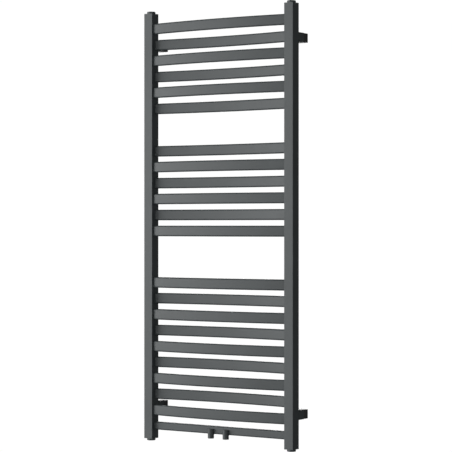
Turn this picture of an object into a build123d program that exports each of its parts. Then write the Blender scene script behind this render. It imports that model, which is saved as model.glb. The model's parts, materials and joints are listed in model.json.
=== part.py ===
"""Ladder-type bathroom radiator with a bleed valve, hung on four wall brackets.

Millimetres, +Z up. The origin is on the wall plane y = 0, halfway between the two posts and
at half their height. The radiator stands in front of the wall, towards -Y.
"""

from build123d import *
import os
from math import asin, cos, degrees, radians, sin

os.makedirs("parts", exist_ok=True)

# Posts: the two upright hollow sections that carry the water to the rungs.
post_height = 1200.0
overall_width = 500.0
post_width = 28.0
post_depth = 30.0
post_wall = 2.0
post_edge_radius = 0.6
post_front_y = -75.0

# Rungs: flat oval tubes, bowed in plan, in groups of six, six and nine from the top.
rung_height = 30.0
rung_depth = 10.0
rung_edge_radius = 4.4
rung_wall = 1.2
rung_bow = 15.0
rung_end_trim_degrees = 1.0
rung_pitch = 45.0
top_rung_below_post_top = 44.0
rung_groups = (6, 6, 9)
group_gaps = (120.0, 145.0)
forward_rungs = (1, 3, 5, 8, 10, 12, 13, 15, 17, 19, 21)
forward_rung_setback = 10.5
backward_rung_setback = 19.0

# Connection rung: the straight lowest tube with the two pipe stubs of the middle connection.
connection_height = 22.4
connection_depth = 16.0
connection_wall = 1.5
connection_edge_radius = 4.0
connection_setback = 11.0
stub_spacing = 50.0
stub_radius = 8.6
stub_root_radius = 8.8
stub_root_below_rung = 1.0
stub_bore_radius = 6.3
stub_end_chamfer = 0.6
stub_setback = 8.9
stub_top_z = -561.0
stub_bottom_z = -587.0
stub_closure = 2.5
divider_thickness = 1.5

# Post ends: a welded bush with a half-inch thread, closed by a plug or by the air vent.
bush_height = 14.0
thread_radius = 10.4
bush_bore_radius = 10.475
plug_shank_length = 11.0
cap_radius = 12.0
cap_height = 6.2
cap_edge_radius = 2.0
hex_socket_width = 10.0
hex_socket_depth = 5.0
seal_inner_radius = 10.5
seal_outer_radius = 11.4
seal_height = 1.0

# Air vent: a bleed screw with a square head, inside a collar that turns to aim the outlet.
collar_recess_radius = 8.0
collar_recess_depth = 4.0
collar_radius = 7.92
collar_bore_radius = 4.1
collar_height = 4.6
collar_floor_gap = 0.1
collar_edge_chamfer = 0.5
spout_radius = 1.6
spout_bore_radius = 0.8
spout_length = 3.2
bleed_bore_radius = 3.6
bleed_shank_radius = 3.55
bleed_square = 5.0
bleed_hole_radius = 1.25
bleed_hole_length = 4.0
bleed_tip_gap = 0.3
bleed_cone_height = 2.0
bleed_groove_above_cone = 1.5
bleed_seal_inner_radius = 2.7
bleed_seal_height = 1.4

# Wall brackets: a steel sleeve on the back of the post slides on a block fixed to the wall.
bracket_z = 509.0
sleeve_width = 28.0
sleeve_height = 26.0
sleeve_length = 26.0
sleeve_edge_radius = 1.0
sleeve_foot = 6.0
sleeve_cavity = 18.8
notch_depth = 5.0
notch_length = 5.0
block_width = 28.0
block_height = 24.8
block_gap = 0.3
block_edge_radius = 1.2
block_panel_border = 3.0
block_panel_depth = 0.8
spigot_size = 18.0
spigot_edge_radius = 1.0
spigot_end_clearance = 0.5
screw_hole_radius = 2.75
screw_head_radius = 5.5
screw_head_seat_y = -10.0
set_screw_radius = 2.5
set_screw_hole_radius = 2.55
set_screw_y = -28.0
set_screw_recess = 0.1
set_screw_tip_gap = 0.35
set_screw_socket = 2.5
set_screw_socket_depth = 2.0
set_screw_chamfer = 0.6

# Places worked out from the dimensions above.
post_centre_x = (overall_width - post_width) / 2
inner_face_x = overall_width / 2 - post_width
post_centre_y = post_front_y + post_depth / 2
post_back_y = post_front_y + post_depth
post_top_z = post_height / 2
connection_y = post_front_y + connection_setback + connection_depth / 2
stub_y = post_front_y + stub_setback
sides = {"left": -1, "right": 1}
levels = {"top": 1, "bottom": -1}


def rung_heights():
    """Heights of the bowed rungs and of the connection rung, from the top."""
    heights = []
    z = post_top_z - top_rung_below_post_top
    for count, gap in zip(rung_groups, group_gaps + (rung_pitch,)):
        for step in range(count):
            heights.append(z - step * rung_pitch)
        z = heights[-1] - gap
    return heights, z


rung_z, connection_z = rung_heights()


def rung_end_y(number):
    """Distance of a rung's centre line from the wall where it meets the posts."""
    setback = forward_rung_setback if number in forward_rungs else backward_rung_setback
    return post_front_y + setback


def save(part, name):
    """Labels a finished piece and writes it to its own file."""
    part.label = name
    export_step(part, f"parts/{name}.step")


# Posts, each open at both ends, with one water port for every rung.
for side, sign in sides.items():
    with BuildPart() as post:
        with BuildSketch(Plane.XY.offset(-post_height / 2)):
            with Locations((sign * post_centre_x, post_centre_y)):
                RectangleRounded(post_width, post_depth, post_edge_radius)
                Rectangle(post_width - 2 * post_wall, post_depth - 2 * post_wall, mode=Mode.SUBTRACT)
        extrude(amount=post_height)
        with BuildSketch(Plane.YZ.offset(sign * inner_face_x)):
            for number, z in enumerate(rung_z, start=1):
                with Locations((rung_end_y(number), z)):
                    RectangleRounded(
                        rung_depth - 2 * rung_wall, rung_height - 2 * rung_wall, rung_edge_radius - rung_wall
                    )
            with Locations((connection_y, connection_z)):
                RectangleRounded(
                    connection_depth - 2 * connection_wall,
                    connection_height - 2 * connection_wall,
                    connection_edge_radius - connection_wall,
                )
        extrude(amount=sign * post_wall, mode=Mode.SUBTRACT)
    save(post.part, f"{side}_post")

# Bowed rungs: the tube's section turned about a vertical axis far behind or in front of it,
# then cut off flat where it meets the two posts.
bow_radius = (inner_face_x**2 + rung_bow**2) / (2 * rung_bow)
bow_half_angle = degrees(asin(inner_face_x / bow_radius)) + rung_end_trim_degrees
for number, z in enumerate(rung_z, start=1):
    bow_sign = -1 if number in forward_rungs else 1
    middle_y = rung_end_y(number) + bow_sign * rung_bow
    centre = (0, middle_y - bow_sign * bow_radius, 0)
    start = radians(bow_sign * 90 - bow_half_angle)
    section_plane = Plane(
        origin=centre, x_dir=(cos(start), sin(start), 0), z_dir=(sin(start), -cos(start), 0)
    )
    with BuildPart() as rung:
        with BuildSketch(section_plane):
            with Locations((bow_radius, z)):
                RectangleRounded(rung_depth, rung_height, rung_edge_radius)
                RectangleRounded(
                    rung_depth - 2 * rung_wall,
                    rung_height - 2 * rung_wall,
                    rung_edge_radius - rung_wall,
                    mode=Mode.SUBTRACT,
                )
        revolve(axis=Axis(centre, (0, 0, 1)), revolution_arc=2 * bow_half_angle)
        split(bisect_by=Plane.YZ.offset(inner_face_x), keep=Keep.BOTTOM)
        split(bisect_by=Plane.YZ.offset(-inner_face_x), keep=Keep.TOP)
    save(rung.part, f"rung_{number:02d}")

# Connection rung, with a round seat cut into its front and underside for each pipe stub.
with BuildPart() as connection_rung:
    with BuildSketch(Plane.YZ.offset(-inner_face_x)):
        with Locations((connection_y, connection_z)):
            RectangleRounded(connection_depth, connection_height, connection_edge_radius)
            RectangleRounded(
                connection_depth - 2 * connection_wall,
                connection_height - 2 * connection_wall,
                connection_edge_radius - connection_wall,
                mode=Mode.SUBTRACT,
            )
    extrude(amount=2 * inner_face_x)
    with BuildSketch(Plane.XY.offset(stub_bottom_z)):
        with Locations((-stub_spacing / 2, stub_y), (stub_spacing / 2, stub_y)):
            Circle(stub_root_radius)
    extrude(amount=stub_top_z - stub_bottom_z, mode=Mode.SUBTRACT)
save(connection_rung.part, "connection_rung")

# Pipe stubs, closed at the top and open at the back into the connection rung. The free end is
# turned down a little, so that a pipe fitting stops on a shoulder just under the rung.
stub_shoulder_z = connection_z - connection_height / 2 - stub_root_below_rung
for name, sign in (("supply_stub", -1), ("return_stub", 1)):
    with BuildPart() as stub:
        with BuildSketch(Plane.XY.offset(stub_bottom_z)):
            with Locations((sign * stub_spacing / 2, stub_y)):
                Circle(stub_radius)
        extrude(amount=stub_shoulder_z - stub_bottom_z)
        chamfer(stub.edges().filter_by(GeomType.CIRCLE).sort_by(Axis.Z)[0], stub_end_chamfer)
        with BuildSketch(Plane.XY.offset(stub_shoulder_z)):
            with Locations((sign * stub_spacing / 2, stub_y)):
                Circle(stub_root_radius)
        extrude(amount=stub_top_z - stub_shoulder_z)
        with BuildSketch(Plane.XY.offset(stub_bottom_z)):
            with Locations((sign * stub_spacing / 2, stub_y)):
                Circle(stub_bore_radius)
        extrude(amount=stub_top_z - stub_bottom_z - stub_closure, mode=Mode.SUBTRACT)
        with BuildSketch(Plane.YZ):
            with Locations((connection_y, connection_z)):
                RectangleRounded(
                    connection_depth - 2 * connection_wall,
                    connection_height - 2 * connection_wall,
                    connection_edge_radius - connection_wall,
                )
        extrude(amount=stub_spacing, both=True, mode=Mode.SUBTRACT)
    save(stub.part, name)

# Flow divider: the wall inside the connection rung that sends the water up one post first.
with BuildPart() as flow_divider:
    with BuildSketch(Plane.YZ.offset(-divider_thickness / 2)):
        with Locations((connection_y, connection_z)):
            RectangleRounded(
                connection_depth - 2 * connection_wall,
                connection_height - 2 * connection_wall,
                connection_edge_radius - connection_wall,
            )
    extrude(amount=divider_thickness)
save(flow_divider.part, "flow_divider")


def end_plane(level, side):
    """Plane on a post's end face, centred on the post, facing out of the post."""
    up = levels[level]
    centre = (sides[side] * post_centre_x, post_centre_y, up * post_top_z)
    return Plane(origin=centre, x_dir=(1, 0, 0), z_dir=(0, 0, up))


# End bushes, one in each end of each post, flush with the post's end.
for level in levels:
    for side in sides:
        with BuildPart() as bush:
            with BuildSketch(end_plane(level, side)):
                Rectangle(post_width - 2 * post_wall, post_depth - 2 * post_wall)
                Circle(bush_bore_radius, mode=Mode.SUBTRACT)
            extrude(amount=-bush_height)
        save(bush.part, f"{level}_{side}_bush")


def cap_with_shank(plane):
    """Round cap with rounded rim, threaded shank and a groove for its sealing ring."""
    with BuildPart() as cap:
        with BuildSketch(plane):
            Circle(cap_radius)
        extrude(amount=cap_height)
        rim = cap.edges().filter_by(GeomType.CIRCLE).sort_by(Axis(plane.origin, plane.z_dir))[-1]
        fillet(rim, cap_edge_radius)
        with BuildSketch(plane):
            Circle(seal_outer_radius)
        extrude(amount=seal_height, mode=Mode.SUBTRACT)
        with BuildSketch(plane.offset(-plug_shank_length)):
            Circle(thread_radius)
        extrude(amount=plug_shank_length + seal_height)
    return cap.part


def seal_ring(plane):
    """Flat sealing ring that fills the groove under a cap."""
    with BuildPart() as ring:
        with BuildSketch(plane):
            Circle(seal_outer_radius)
            Circle(seal_inner_radius, mode=Mode.SUBTRACT)
        extrude(amount=seal_height)
    return ring.part


# Blank plugs close three post ends, and the air vent closes the fourth.
plug_places = (("top", "left"), ("bottom", "left"), ("bottom", "right"))
for level, side in plug_places:
    plane = end_plane(level, side)
    with BuildPart() as plug:
        add(cap_with_shank(plane))
        with BuildSketch(plane.offset(cap_height)):
            RegularPolygon(hex_socket_width / 2, 6, major_radius=False)
        extrude(amount=-hex_socket_depth, mode=Mode.SUBTRACT)
    save(plug.part, f"{level}_{side}_plug")

with BuildPart() as plug_seals:
    for level, side in plug_places:
        add(seal_ring(end_plane(level, side)))
save(plug_seals.part, "plug_seals")

vent_plane = end_plane("top", "right")
recess_floor = cap_height - collar_recess_depth
bleed_seat = -plug_shank_length + bleed_hole_length
with BuildPart() as vent_body:
    add(cap_with_shank(vent_plane))
    with BuildSketch(vent_plane.offset(cap_height)):
        Circle(collar_recess_radius)
    extrude(amount=-collar_recess_depth, mode=Mode.SUBTRACT)
    with BuildSketch(vent_plane.offset(recess_floor)):
        Circle(bleed_bore_radius)
    extrude(amount=bleed_seat - recess_floor, mode=Mode.SUBTRACT)
    with BuildSketch(vent_plane.offset(bleed_seat)):
        Circle(bleed_hole_radius)
    extrude(amount=-plug_shank_length - bleed_seat, mode=Mode.SUBTRACT)
save(vent_body.part, "vent_body")

save(seal_ring(vent_plane), "vent_seal")

# Outlet collar: lies in the vent's recess on a small gap, with a spout that points sideways.
collar_floor = recess_floor + collar_floor_gap
with BuildPart() as vent_collar:
    with BuildSketch(vent_plane.offset(collar_floor)):
        Circle(collar_radius)
    extrude(amount=collar_height)
    chamfer(vent_collar.edges().filter_by(GeomType.CIRCLE).sort_by(Axis.Z)[-1], collar_edge_chamfer)
    spout_z = collar_floor + collar_height - spout_radius / 2
    spout_origin = vent_plane.origin + Vector(0, 0, spout_z)
    spout_plane = Plane(origin=spout_origin, x_dir=(1, 0, 0), z_dir=(0, -1, 0))
    with BuildSketch(spout_plane.offset(collar_bore_radius)):
        Circle(spout_radius)
    extrude(amount=spout_length)
    with BuildSketch(vent_plane.offset(collar_floor)):
        Circle(collar_bore_radius)
    extrude(amount=collar_height + spout_radius, mode=Mode.SUBTRACT)
    with BuildSketch(spout_plane):
        Circle(spout_bore_radius)
    extrude(amount=collar_bore_radius + spout_length, mode=Mode.SUBTRACT)
save(vent_collar.part, "vent_collar")

# Bleed screw: cone tip over the air hole, groove for its ring, square head for the vent key.
bleed_tip = bleed_seat + bleed_tip_gap
bleed_groove_floor = bleed_tip + bleed_cone_height + bleed_groove_above_cone
with BuildPart() as bleed_screw:
    with BuildSketch(vent_plane.offset(bleed_tip)):
        Circle(bleed_hole_radius)
    with BuildSketch(vent_plane.offset(bleed_tip + bleed_cone_height)):
        Circle(bleed_shank_radius)
    loft()
    with BuildSketch(vent_plane.offset(bleed_tip + bleed_cone_height)):
        Circle(bleed_shank_radius)
    extrude(amount=recess_floor - bleed_tip - bleed_cone_height)
    with BuildSketch(vent_plane.offset(recess_floor)):
        Rectangle(bleed_square, bleed_square)
    extrude(amount=collar_recess_depth)
    with BuildSketch(vent_plane.offset(bleed_groove_floor)):
        Circle(bleed_shank_radius)
        Circle(bleed_seal_inner_radius, mode=Mode.SUBTRACT)
    extrude(amount=bleed_seal_height, mode=Mode.SUBTRACT)
save(bleed_screw.part, "bleed_screw")

with BuildPart() as bleed_screw_seal:
    with BuildSketch(vent_plane.offset(bleed_groove_floor)):
        Circle(bleed_shank_radius)
        Circle(bleed_seal_inner_radius, mode=Mode.SUBTRACT)
    extrude(amount=bleed_seal_height)
save(bleed_screw_seal.part, "bleed_screw_seal")

# Wall brackets, one behind each end of each post.
sleeve_end_y = post_back_y + sleeve_length
block_front_y = sleeve_end_y + block_gap
spigot_front_y = post_back_y + sleeve_foot + spigot_end_clearance
for level, up in levels.items():
    for side, sign in sides.items():
        x = sign * post_centre_x
        z = up * bracket_z
        back_of_post = Plane(origin=(x, post_back_y, z), x_dir=(-1, 0, 0), z_dir=(0, 1, 0))

        # Sleeve: closed at the post, open at the wall, with a relief notch on its inner side.
        with BuildPart() as sleeve:
            with BuildSketch(back_of_post):
                RectangleRounded(sleeve_width, sleeve_height, sleeve_edge_radius)
            extrude(amount=sleeve_length)
            with BuildSketch(back_of_post.offset(sleeve_foot)):
                Rectangle(sleeve_cavity, sleeve_cavity)
            extrude(amount=sleeve_length - sleeve_foot, mode=Mode.SUBTRACT)
            with BuildSketch(Plane.YZ.offset(x)):
                inner_edge_z = z - up * sleeve_height / 2
                with BuildLine():
                    Polyline(
                        (post_back_y, inner_edge_z),
                        (post_back_y + notch_length, inner_edge_z),
                        (post_back_y + notch_length / 2, inner_edge_z + up * notch_depth),
                        (post_back_y, inner_edge_z + up * notch_depth),
                        close=True,
                    )
                make_face()
            extrude(amount=sleeve_width, both=True, mode=Mode.SUBTRACT)
            with BuildSketch(Plane.XY.offset(z)):
                with Locations((x, set_screw_y)):
                    Circle(set_screw_hole_radius)
            extrude(amount=-sleeve_height, mode=Mode.SUBTRACT)
        save(sleeve.part, f"{level}_{side}_sleeve")

        # Block: square base on the wall, spigot into the sleeve, stepped hole for a wall screw.
        with BuildPart() as block:
            with BuildSketch(Plane(origin=(x, block_front_y, z), x_dir=(-1, 0, 0), z_dir=(0, 1, 0))):
                RectangleRounded(block_width, block_height, block_edge_radius)
            extrude(amount=-block_front_y)
            for face_sign in (-1, 1):
                with BuildSketch(Plane.YZ.offset(x + face_sign * block_width / 2)):
                    with Locations((block_front_y / 2, z)):
                        Rectangle(
                            -block_front_y - 2 * block_panel_border,
                            block_height - 2 * block_panel_border,
                        )
                extrude(amount=-face_sign * block_panel_depth, mode=Mode.SUBTRACT)
            with BuildSketch(Plane(origin=(x, spigot_front_y, z), x_dir=(-1, 0, 0), z_dir=(0, 1, 0))):
                RectangleRounded(spigot_size, spigot_size, spigot_edge_radius)
            extrude(amount=block_front_y - spigot_front_y)
            with BuildSketch(Plane(origin=(x, spigot_front_y, z), x_dir=(-1, 0, 0), z_dir=(0, 1, 0))):
                Circle(screw_head_radius)
            extrude(amount=screw_head_seat_y - spigot_front_y, mode=Mode.SUBTRACT)
            with BuildSketch(Plane(origin=(x, 0, z), x_dir=(-1, 0, 0), z_dir=(0, 1, 0))):
                Circle(screw_hole_radius)
            extrude(amount=screw_head_seat_y, mode=Mode.SUBTRACT)
        save(block.part, f"{level}_{side}_wall_block")

        # Set screw: clamps the sleeve on the spigot from below.
        screw_bottom_z = z - sleeve_height / 2 + set_screw_recess
        screw_tip_z = z - spigot_size / 2 - set_screw_tip_gap
        with BuildPart() as set_screw:
            with BuildSketch(Plane.XY.offset(screw_bottom_z)):
                with Locations((x, set_screw_y)):
                    Circle(set_screw_radius)
            extrude(amount=screw_tip_z - screw_bottom_z)
            chamfer(set_screw.edges().filter_by(GeomType.CIRCLE).sort_by(Axis.Z)[-1], set_screw_chamfer)
            with BuildSketch(Plane.XY.offset(screw_bottom_z)):
                with Locations((x, set_screw_y)):
                    RegularPolygon(set_screw_socket / 2, 6, major_radius=False)
            extrude(amount=set_screw_socket_depth, mode=Mode.SUBTRACT)
        save(set_screw.part, f"{level}_{side}_set_screw")
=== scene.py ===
"""Looks of the ladder radiator: paint, rungs, weld beads, floor, light and camera. Metres."""

import json
import math

import bmesh
import bpy
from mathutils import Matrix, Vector


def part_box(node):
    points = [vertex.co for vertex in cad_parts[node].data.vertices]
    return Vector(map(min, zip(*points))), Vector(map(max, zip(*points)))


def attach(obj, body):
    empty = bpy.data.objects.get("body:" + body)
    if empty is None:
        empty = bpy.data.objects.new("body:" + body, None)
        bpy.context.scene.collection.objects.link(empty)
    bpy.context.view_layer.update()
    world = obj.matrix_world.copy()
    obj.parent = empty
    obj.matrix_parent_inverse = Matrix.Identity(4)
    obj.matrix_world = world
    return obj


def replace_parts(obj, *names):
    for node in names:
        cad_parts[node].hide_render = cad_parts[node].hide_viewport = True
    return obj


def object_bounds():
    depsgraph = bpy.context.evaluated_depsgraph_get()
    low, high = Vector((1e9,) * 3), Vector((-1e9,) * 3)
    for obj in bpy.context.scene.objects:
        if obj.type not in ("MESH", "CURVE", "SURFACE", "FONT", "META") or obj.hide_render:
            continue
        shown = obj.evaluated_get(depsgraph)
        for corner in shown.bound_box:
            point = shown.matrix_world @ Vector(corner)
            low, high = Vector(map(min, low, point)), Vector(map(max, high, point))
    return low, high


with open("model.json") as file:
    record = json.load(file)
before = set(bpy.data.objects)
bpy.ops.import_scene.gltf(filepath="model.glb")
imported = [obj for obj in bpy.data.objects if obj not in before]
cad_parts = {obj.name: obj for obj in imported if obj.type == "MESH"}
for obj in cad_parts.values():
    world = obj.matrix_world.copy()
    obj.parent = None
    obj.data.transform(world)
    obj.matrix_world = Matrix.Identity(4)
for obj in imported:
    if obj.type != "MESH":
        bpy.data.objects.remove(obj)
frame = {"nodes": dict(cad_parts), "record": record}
cad_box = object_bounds()

nodes = frame["nodes"]
scene = bpy.context.scene

# Colours, as linear red, green and blue.
ANTHRACITE = (0.0395, 0.0480, 0.0505)
BLACK_PLASTIC = (0.024, 0.024, 0.024)
RUBBER = (0.012, 0.012, 0.012)
BRASS = (0.62, 0.43, 0.17)
BLACK_STEEL = (0.09, 0.09, 0.095)
BARE_STEEL = (0.30, 0.29, 0.28)
FLOOR_BOUNCE = (0.35, 0.35, 0.35)

# Brightness of the floor and the surround where the camera sees them: just past white.
WHITE_LEVEL = 1.02

# Sizes of the finish: masked-off radius in the pipe stubs, and pitch of the marks on turned metal.
BARE_RADIUS = 0.0074
TURNED_PITCH = 0.00025

# Middle part of a noise's values, which the materials stretch over their own ranges.
NOISE_LOW = 0.3
NOISE_HIGH = 0.7


# Node helpers


class NodeTree:
    """Short names for adding and joining shader nodes."""

    def __init__(self, name):
        self.material = bpy.data.materials.new(name)
        self.material.use_nodes = True
        self.tree = self.material.node_tree
        self.shader = self.tree.nodes["Principled BSDF"]

    def add(self, kind, **inputs):
        node = self.tree.nodes.new(kind)
        for key, value in inputs.items():
            self.set(node, key, value)
        return node

    def set(self, node, key, value):
        self.feed(node.inputs[key.replace("_", " ")], value)

    def feed(self, socket, value):
        """Links a socket to another node's output, or sets its own number or colour."""
        if isinstance(value, bpy.types.NodeSocket):
            self.tree.links.new(value, socket)
        else:
            socket.default_value = value

    def place(self):
        """Position on the part at rest, in metres."""
        return self.add("ShaderNodeTexCoord").outputs["Object"]

    def math(self, operation, *values):
        node = self.tree.nodes.new("ShaderNodeMath")
        node.operation = operation
        for socket, value in zip(node.inputs, values):
            self.feed(socket, value)
        return node.outputs[0]

    def about_axis(self, axis):
        """Distance from an upright axis, and height above its middle."""
        offset = self.add("ShaderNodeVectorMath", Vector=self.place())
        offset.operation = "SUBTRACT"
        offset.inputs[1].default_value = axis
        split = self.add("ShaderNodeSeparateXYZ", Vector=offset.outputs["Vector"])
        x, y, z = (split.outputs[k] for k in "XYZ")
        squares = self.math("ADD", self.math("MULTIPLY", x, x), self.math("MULTIPLY", y, y))
        return self.math("SQRT", squares), z

    def noise(self, scale, detail=2.0, roughness=0.5):
        node = self.add("ShaderNodeTexNoise", Vector=self.place(), Scale=scale)
        node.inputs["Detail"].default_value = detail
        node.inputs["Roughness"].default_value = roughness
        return node.outputs["Fac"]

    def remap(self, value, to_low, to_high, low=NOISE_LOW, high=NOISE_HIGH):
        """Stretches the values between low and high over the range to_low to to_high."""
        node = self.tree.nodes.new("ShaderNodeMapRange")
        self.feed(node.inputs["Value"], value)
        ends = {"From Min": low, "From Max": high, "To Min": to_low, "To Max": to_high}
        for key, number in ends.items():
            node.inputs[key].default_value = number
        return node.outputs["Result"]

    def mix(self, factor, a, b):
        """Blends colour a into colour b."""
        node = self.tree.nodes.new("ShaderNodeMix")
        node.data_type = "RGBA"
        sockets = {s.name: s for s in node.inputs if s.enabled}
        self.feed(sockets["Factor"], factor)
        for key, value in (("A", a), ("B", b)):
            is_socket = isinstance(value, bpy.types.NodeSocket)
            self.feed(sockets[key], value if is_socket else (*value, 1.0))
        return next(s for s in node.outputs if s.type == "RGBA")

    def bump(self, height, distance, strength, normal=None):
        node = self.add("ShaderNodeBump", Height=height, Distance=distance, Strength=strength)
        if normal is not None:
            self.tree.links.new(normal, node.inputs["Normal"])
        return node.outputs["Normal"]


def scaled(colour, factor):
    """A colour made lighter or darker."""
    return tuple(factor * c for c in colour)


# Materials


def powder_coat(name, bare_axis=None):
    """Satin anthracite powder coat with a fine sandy grain and a faint orange peel.

    Within BARE_RADIUS of an upright bare_axis, the steel was masked off and shows instead.
    """
    t = NodeTree(name)
    grain = t.noise(scale=1500.0, detail=3.0, roughness=0.6)
    peel = t.noise(scale=260.0, detail=1.0)
    cloud = t.noise(scale=9.0)
    colour = t.mix(t.remap(cloud, 0.0, 1.0), scaled(ANTHRACITE, 0.90), scaled(ANTHRACITE, 1.10))
    specks = t.remap(grain, 0.0, 0.35, low=0.62, high=0.78)
    colour = t.mix(specks, colour, scaled(ANTHRACITE, 1.9))
    if bare_axis is not None:
        radius, _ = t.about_axis(bare_axis)
        bare = t.math("LESS_THAN", radius, BARE_RADIUS)
        stain = t.noise(scale=420.0, detail=3.0)
        colour = t.mix(bare, colour, t.mix(stain, BARE_STEEL, scaled(BARE_STEEL, 0.55)))
        t.set(t.shader, "Metallic", bare)
    t.set(t.shader, "Base_Color", colour)
    t.set(t.shader, "Roughness", t.remap(grain, 0.51, 0.61))
    normal = t.bump(peel, distance=0.00004, strength=0.6)
    t.set(t.shader, "Normal", t.bump(grain, distance=0.00003, strength=0.7, normal=normal))
    return t.material


def moulded_plastic(name, colour, roughness):
    """Moulded plastic with a fine spark-eroded grain."""
    t = NodeTree(name)
    grain = t.noise(scale=2200.0, detail=3.0, roughness=0.6)
    cloud = t.noise(scale=40.0)
    t.set(t.shader, "Base_Color", t.mix(t.remap(cloud, 0.0, 1.0), colour, scaled(colour, 1.35)))
    t.set(t.shader, "Roughness", t.remap(grain, roughness - 0.05, roughness + 0.08))
    t.set(t.shader, "Normal", t.bump(grain, distance=0.00004, strength=0.6))
    return t.material


def rubber():
    """Matt black sealing rubber."""
    t = NodeTree("seal_rubber")
    grain = t.noise(scale=900.0)
    t.set(t.shader, "Base_Color", t.mix(grain, RUBBER, scaled(RUBBER, 2.0)))
    t.set(t.shader, "Roughness", t.remap(grain, 0.62, 0.78))
    t.set(t.shader, "Normal", t.bump(grain, distance=0.00003, strength=0.5))
    return t.material


def turned_metal(name, colour, roughness, axis):
    """Turned metal: fine rings round an upright axis, with a little tarnish."""
    t = NodeTree(name)
    radius, z = t.about_axis(axis)
    turns = t.math("MULTIPLY", t.math("ADD", radius, z), 2 * math.pi / TURNED_PITCH)
    tarnish = t.noise(scale=350.0, detail=3.0)
    tarnished = t.remap(tarnish, 0.0, 1.0, low=0.35, high=0.75)
    t.set(t.shader, "Base_Color", t.mix(tarnished, colour, scaled(colour, 0.55)))
    t.set(t.shader, "Metallic", 1.0)
    t.set(t.shader, "Roughness", t.remap(tarnish, roughness, roughness + 0.18))
    t.set(t.shader, "Normal", t.bump(t.math("SINE", turns), distance=0.00001, strength=0.5))
    return t.material


def floor_paint():
    """Pale matt floor that looks pure white, but throws little light up at the radiator."""
    t = NodeTree("pale_floor")
    t.set(t.shader, "Base_Color", (*FLOOR_BOUNCE, 1.0))
    t.set(t.shader, "Roughness", 0.9)
    t.set(t.shader, "Specular_IOR_Level", 0.0)
    glow = t.add("ShaderNodeEmission", Strength=WHITE_LEVEL)
    mix = t.add("ShaderNodeMixShader", Fac=t.add("ShaderNodeLightPath").outputs["Is Camera Ray"])
    t.tree.links.new(t.shader.outputs["BSDF"], mix.inputs[1])
    t.tree.links.new(glow.outputs["Emission"], mix.inputs[2])
    t.set(t.tree.nodes["Material Output"], "Surface", mix.outputs["Shader"])
    return t.material


paint = powder_coat("anthracite_powder_coat")
vent_low, vent_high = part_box("bleed_screw")
vent_axis = (vent_low + vent_high) / 2
slot_materials = {
    "body_paint": paint,
    "bracket_plastic": moulded_plastic("bracket_black_plastic", BLACK_PLASTIC, roughness=0.55),
    "collar_plastic": moulded_plastic("collar_black_plastic", BLACK_PLASTIC, roughness=0.42),
    "seal_rubber": rubber(),
    "brass": turned_metal("turned_brass", BRASS, roughness=0.25, axis=vent_axis),
}

# Nodes whose material is laid out about their own axis.
own_materials = {}
for name in nodes:
    if name.endswith("set_screw"):
        low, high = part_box(name)
        axis = (low + high) / 2
        own_materials[name] = turned_metal("blackened_" + name, BLACK_STEEL, 0.38, axis)
for name in ("supply_stub", "return_stub"):
    low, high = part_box(name)
    own_materials[name] = powder_coat("anthracite_" + name, bare_axis=(low + high) / 2)

for row in frame["record"]["subparts"]:
    name = row["node"]
    material = own_materials.get(name) or slot_materials[row["material_slot"]]
    nodes[name].data.materials.clear()
    nodes[name].data.materials.append(material)


# Rungs, drawn again with fine even facets and the true round of the tube's edges.

RUNG_DEPTH = 0.010
RUNG_CORNER = 0.0044
RUNG_WALL = 0.0012
RUNG_BOW = 0.015
RUNG_STATIONS = 40
CONNECTION_CORNER = 0.0040
CORNER_STEPS = 6
END_TOLERANCE = 1e-5
SHARP_ANGLE = math.radians(40)
inner_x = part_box("right_post")[0].x


def rounded_outline(width, height, corner):
    """Rounded rectangle round the origin, as (across, up) pairs."""
    points = []
    for quarter, (across, up) in enumerate(((1, 1), (-1, 1), (-1, -1), (1, -1))):
        for step in range(CORNER_STEPS + 1):
            angle = (quarter + step / CORNER_STEPS) * math.pi / 2
            points.append(
                (
                    across * (width / 2 - corner) + corner * math.cos(angle),
                    up * (height / 2 - corner) + corner * math.sin(angle),
                )
            )
    return points


def end_face(name):
    """Lowest and highest corner of the end that a rung sets against the right-hand post."""
    end = [v.co for v in nodes[name].data.vertices if v.co.x > inner_x - END_TOLERANCE]
    low = Vector((inner_x, min(c.y for c in end), min(c.z for c in end)))
    high = Vector((inner_x, max(c.y for c in end), max(c.z for c in end)))
    return low, high


def join_rings(bm, first, second):
    """Closes the band between two rings that have as many points."""
    count = len(first)
    for k in range(count):
        after = (k + 1) % count
        bm.faces.new((first[k], first[after], second[after], second[k]))


def new_piece(name, bm, material, body="radiator"):
    """Turns a bmesh into a smooth-shaded piece that rides on a body."""
    bmesh.ops.recalc_face_normals(bm, faces=bm.faces)
    mesh = bpy.data.meshes.new(name)
    bm.to_mesh(mesh)
    bm.free()
    mesh.shade_smooth()
    mesh.set_sharp_from_angle(angle=SHARP_ANGLE)
    mesh.materials.append(material)
    piece = bpy.data.objects.new(name, mesh)
    scene.collection.objects.link(piece)
    weighted = piece.modifiers.new("weighted_normals", "WEIGHTED_NORMAL")
    weighted.keep_sharp = True
    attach(piece, body)
    return piece


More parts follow.
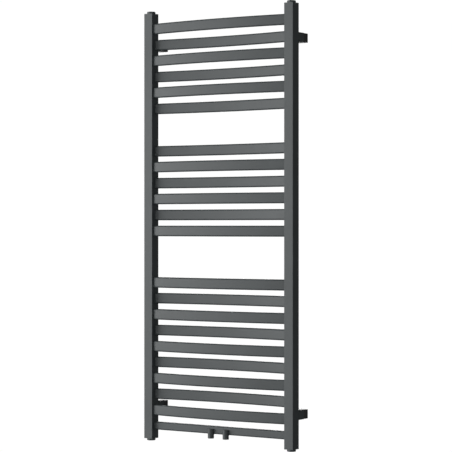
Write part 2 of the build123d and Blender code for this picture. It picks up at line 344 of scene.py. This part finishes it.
def bowed_tube(name):
    """Hollow bowed rung between the two posts, cut off flat at both ends."""
    low, high = end_face(name)
    middle = (low + high) / 2
    height = high.z - low.z
    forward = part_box(name)[0].y < low.y - RUNG_BOW / 2
    bow = -1 if forward else 1
    radius = (inner_x**2 + RUNG_BOW**2) / (2 * RUNG_BOW)
    outside = rounded_outline(RUNG_DEPTH, height, RUNG_CORNER)
    inside = rounded_outline(
        RUNG_DEPTH - 2 * RUNG_WALL, height - 2 * RUNG_WALL, RUNG_CORNER - RUNG_WALL
    )
    bm = bmesh.new()
    skins = []
    for outline in (outside, inside):
        rings = []
        for station in range(RUNG_STATIONS + 1):
            share = 2 * station / RUNG_STATIONS - 1
            ring = []
            for back, up in outline:
                reach = radius + bow * back
                angle = share * math.asin(inner_x / reach)
                y = middle.y + bow * (RUNG_BOW - radius + reach * math.cos(angle))
                ring.append(bm.verts.new((reach * math.sin(angle), y, middle.z + up)))
            rings.append(ring)
        skins.append(rings)
        for first, second in zip(rings, rings[1:]):
            join_rings(bm, first, second)
    for end in (0, -1):
        join_rings(bm, skins[0][end], skins[1][end])
    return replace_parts(new_piece(name + "_tube", bm, paint), name)


rung_names = sorted(name for name in nodes if name.startswith("rung_"))
for name in rung_names:
    bowed_tube(name)


# Weld beads, under the powder coat.

BEAD_RADIUS = 0.0010
BEAD_SIDES = 8
BEAD_STEP = 0.0006
BEAD_END_SIZE = 0.3
BEAD_END_POWER = 16
RIPPLE_PITCH = 0.0024
RIPPLE_DEPTH = 0.07
STUB_ARC_STEPS = 24
ALONG_X = Vector((1, 0, 0))
UPWARDS = Vector((0, 0, 1))
DOWN_AND_OUT = Vector((0, -1, -1)).normalized()


def resample(path, closed):
    """Points at about BEAD_STEP along a path, the length reached at each, and the whole length."""
    corners = path + path[:1] if closed else path
    points, lengths, total = [], [], 0.0
    for start, end in zip(corners, corners[1:]):
        span = (end - start).length
        count = max(1, round(span / BEAD_STEP))
        for step in range(count):
            points.append(start.lerp(end, step / count))
            lengths.append(total + span * step / count)
        total += span
    if not closed:
        points.append(path[-1])
        lengths.append(total)
    return points, lengths, total


def bead(bm, path, reference, closed=True):
    """Rippled bead along a path. The reference is never parallel to the path."""
    points, lengths, total = resample(path, closed)
    ripples = max(1, round(total / RIPPLE_PITCH))
    rings = []
    for k, point in enumerate(points):
        before = points[k - 1] if closed or k > 0 else point
        after = points[(k + 1) % len(points)] if closed or k < len(points) - 1 else point
        tangent = (after - before).normalized()
        side = tangent.cross(reference).normalized()
        out = side.cross(tangent)
        share = lengths[k] / total
        size = BEAD_RADIUS * (1 + RIPPLE_DEPTH * math.sin(2 * math.pi * ripples * share))
        if not closed:
            size *= max(BEAD_END_SIZE, 1 - (2 * share - 1) ** BEAD_END_POWER)
        ring = []
        for corner in range(BEAD_SIDES):
            angle = 2 * math.pi * corner / BEAD_SIDES
            across = math.cos(angle) * side + math.sin(angle) * out
            ring.append(bm.verts.new(point + size * across))
        rings.append(ring)
    for first, second in zip(rings, rings[1:]):
        join_rings(bm, first, second)
    if closed:
        join_rings(bm, rings[-1], rings[0])
    else:
        bm.faces.new(rings[0])
        bm.faces.new(rings[-1])


def rung_end_path(name, side, corner):
    """Line where a rung meets the left-hand (-1) or right-hand (1) post."""
    low, high = end_face(name)
    middle = (low + high) / 2
    outline = rounded_outline(high.y - low.y, high.z - low.z, corner)
    return [Vector((side * inner_x, middle.y + back, middle.z + up)) for back, up in outline]


def stub_path(name):
    """Line where a pipe stub meets the front, the rounded edge and the underside of its rung."""
    rung_low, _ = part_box("connection_rung")
    low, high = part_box(name)
    centre_x, centre_y = (low.x + high.x) / 2, (low.y + high.y) / 2
    radius = (high.x - low.x) / 2
    first = math.asin((rung_low.y - centre_y) / radius)
    flat_y = rung_low.y + CONNECTION_CORNER
    flat_z = rung_low.z + CONNECTION_CORNER
    path = []
    for step in range(STUB_ARC_STEPS + 1):
        angle = first + (math.pi - 2 * first) * step / STUB_ARC_STEPS
        y = centre_y + radius * math.sin(angle)
        into_edge = max(0.0, flat_y - y)
        z = flat_z - math.sqrt(max(0.0, CONNECTION_CORNER**2 - into_edge**2))
        path.append(Vector((centre_x + radius * math.cos(angle), y, z)))
    half_chord = radius * math.cos(first)
    for x in (-half_chord, half_chord):
        path.append(Vector((centre_x + x, rung_low.y, high.z)))
    return path


for side_name, side in (("left", -1), ("right", 1)):
    bm = bmesh.new()
    for name in rung_names:
        bead(bm, rung_end_path(name, side, RUNG_CORNER), ALONG_X)
    bead(bm, rung_end_path("connection_rung", side, CONNECTION_CORNER), ALONG_X)
    new_piece(side_name + "_post_welds", bm, paint)

bm = bmesh.new()
for name in ("supply_stub", "return_stub"):
    bead(bm, stub_path(name), DOWN_AND_OUT)
new_piece("stub_welds", bm, paint)

# A bracket sleeve is welded to its post along the edge away from the radiator's middle.
inset = 2 * BEAD_RADIUS
bm = bmesh.new()
for level, up in (("top", 1), ("bottom", -1)):
    for side_name in ("left", "right"):
        low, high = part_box(f"{level}_{side_name}_sleeve")
        edge_z = high.z if up > 0 else low.z
        line = [Vector((low.x + inset, low.y, edge_z)), Vector((high.x - inset, low.y, edge_z))]
        bead(bm, line, UPWARDS, closed=False)
new_piece("sleeve_welds", bm, paint)


# Stage: a pale floor under the hanging radiator, and a white surround.

FLOOR_SIZE = 120.0
FLOOR_DROP = 0.55
SURROUND_LIGHT = 0.16
cad_low, cad_high = cad_box
centre = (cad_low + cad_high) / 2

bpy.ops.mesh.primitive_plane_add(size=FLOOR_SIZE, location=(0, 0, cad_low.z - FLOOR_DROP))
floor = bpy.context.object
floor.name = "floor"
floor.data.materials.append(floor_paint())

world = bpy.data.worlds.new("studio")
scene.world = world
world.use_nodes = True
world_nodes = world.node_tree.nodes
faint = world_nodes["Background"]
white = world_nodes.new("ShaderNodeBackground")
for background, strength in ((faint, SURROUND_LIGHT), (white, WHITE_LEVEL)):
    background.inputs["Color"].default_value = (1, 1, 1, 1)
    background.inputs["Strength"].default_value = strength
ray = world_nodes.new("ShaderNodeLightPath")
mix = world_nodes.new("ShaderNodeMixShader")
links = world.node_tree.links
links.new(ray.outputs["Is Camera Ray"], mix.inputs["Fac"])
links.new(faint.outputs["Background"], mix.inputs[1])
links.new(white.outputs["Background"], mix.inputs[2])
links.new(mix.outputs["Shader"], world_nodes["World Output"].inputs["Surface"])


# Lights


def area_light(name, azimuth, elevation, distance, size, power):
    """A soft box, in degrees, metres and watts, that looks at the radiator's middle.

    Azimuth 0 is straight in front, and 90 is to the right.
    """
    a, e = math.radians(azimuth), math.radians(elevation)
    direction = Vector((math.sin(a) * math.cos(e), -math.cos(a) * math.cos(e), math.sin(e)))
    data = bpy.data.lights.new(name, "AREA")
    data.shape = "RECTANGLE"
    data.size, data.size_y = size
    data.energy = power
    lamp = bpy.data.objects.new(name, data)
    lamp.location = centre + direction * distance
    lamp.rotation_mode = "QUATERNION"
    lamp.rotation_quaternion = direction.to_track_quat("Z", "Y")
    scene.collection.objects.link(lamp)


area_light("key_light", -52, 2, distance=12.0, size=(9.0, 4.0), power=1380)
area_light("front_light", -8, 2, distance=12.0, size=(4.0, 4.0), power=375)
area_light("fill_light", 65, 0, distance=8.0, size=(3.0, 3.0), power=90)
area_light("back_light", 204, 4, distance=12.0, size=(6.0, 4.0), power=900)


# Camera, level with the radiator's mid-height, in front of it and to the right.

CAMERA_OFFSET = Vector((2.9584, -4.2065, 0.0))
CAMERA_HEADING = math.radians(34.825)
FOCAL_LENGTH = 148.76
SENSOR_WIDTH = 36.0
posts_front = Vector((0.0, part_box("left_post")[0].y, 0.0))

camera_data = bpy.data.cameras.new("camera")
camera_data.sensor_width = SENSOR_WIDTH
camera_data.lens = FOCAL_LENGTH
camera = bpy.data.objects.new("camera", camera_data)
camera.location = posts_front + CAMERA_OFFSET
camera.rotation_euler = (math.pi / 2, 0.0, CAMERA_HEADING)
scene.collection.objects.link(camera)
scene.camera = camera

scene.view_settings.view_transform = "Standard"
